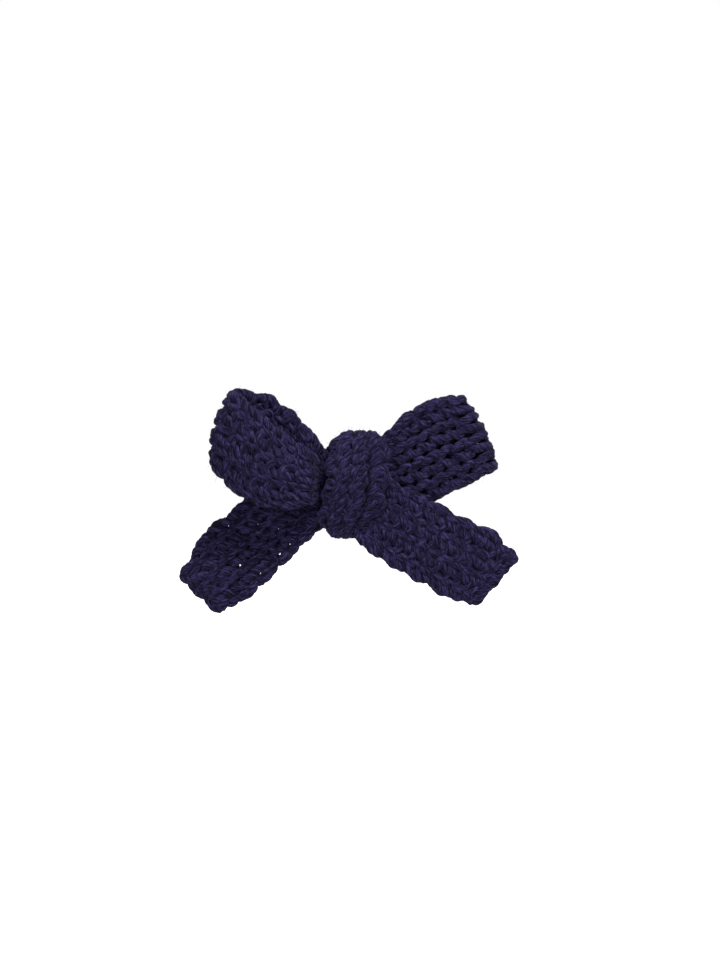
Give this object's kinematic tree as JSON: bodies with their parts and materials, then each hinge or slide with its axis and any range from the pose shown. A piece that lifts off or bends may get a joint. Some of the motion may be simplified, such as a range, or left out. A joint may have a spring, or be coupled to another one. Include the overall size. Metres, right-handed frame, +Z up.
{
  "type": "hair bow",
  "caption": "Rib-knit wool hair bow with two loops and two tails, sewn through a felt pad onto a sprung hair clip.",
  "frame": {"origin": "on the inner face of the clip's flat jaw, straight behind the knot and 5 mm above its middle", "axes": "+X along the bow, towards the flattened right loop as seen from the front; +Z up; +Y back, towards the hair"},
  "size_m": [0.1001, 0.0317, 0.0662],
  "materials": {
    "wool": "matt plied wool, dark navy-purple",
    "felt": "pressed felt, matt",
    "thread": "twisted sewing thread",
    "clip_steel": "bright nickel-plated steel",
    "spring_wire": "drawn spring wire"
  },
  "bodies": {
    "bow_base": {"knot_wrap": "wool", "knot_core": "wool", "felt_pad": "felt", "felt_strap": "felt", "tack_stitches": "thread", "clip_flat_jaw": "clip_steel", "hinge_pin": "clip_steel", "torsion_spring": "spring_wire"},
    "toothed_jaw": {"clip_toothed_jaw": "clip_steel"},
    "left_loop": {"left_loop": "wool"},
    "right_loop": {"right_loop": "wool"},
    "left_tail": {"left_tail": "wool"},
    "right_tail": {"right_tail": "wool"}
  },
  "joints": [
    {"name": "jaw_hinge", "type": "hinge", "parent": "bow_base", "child": "toothed_jaw", "pos_m": [0.006, 0.0035, 0], "axis": [0, 0, -1], "range_deg": [0, 26], "stiffness_Nm_per_rad": 0.02, "springref_deg": -20.05, "deforming": ["torsion_spring"]},
    {"name": "left_loop_flex", "type": "hinge", "parent": "bow_base", "child": "left_loop", "pos_m": [-0.0098, -0.0133, 0], "axis": [0, 0, 1], "range_deg": [0, 16], "stiffness_Nm_per_rad": 0.002},
    {"name": "right_loop_flex", "type": "hinge", "parent": "bow_base", "child": "right_loop", "pos_m": [0.0098, -0.0081, 0], "axis": [0, 0, 1], "range_deg": [0, 10], "stiffness_Nm_per_rad": 0.002},
    {"name": "left_tail_flex", "type": "hinge", "parent": "bow_base", "child": "left_tail", "pos_m": [-0.0098, -0.0075, 0], "axis": [0, 0, -1], "range_deg": [0, 12], "stiffness_Nm_per_rad": 0.002},
    {"name": "right_tail_flex", "type": "hinge", "parent": "bow_base", "child": "right_tail", "pos_m": [0.0074, -0.0142, -0.0114], "axis": [-0.2381, 0, -0.9713], "range_deg": [0, 18], "stiffness_Nm_per_rad": 0.002}
  ]
}
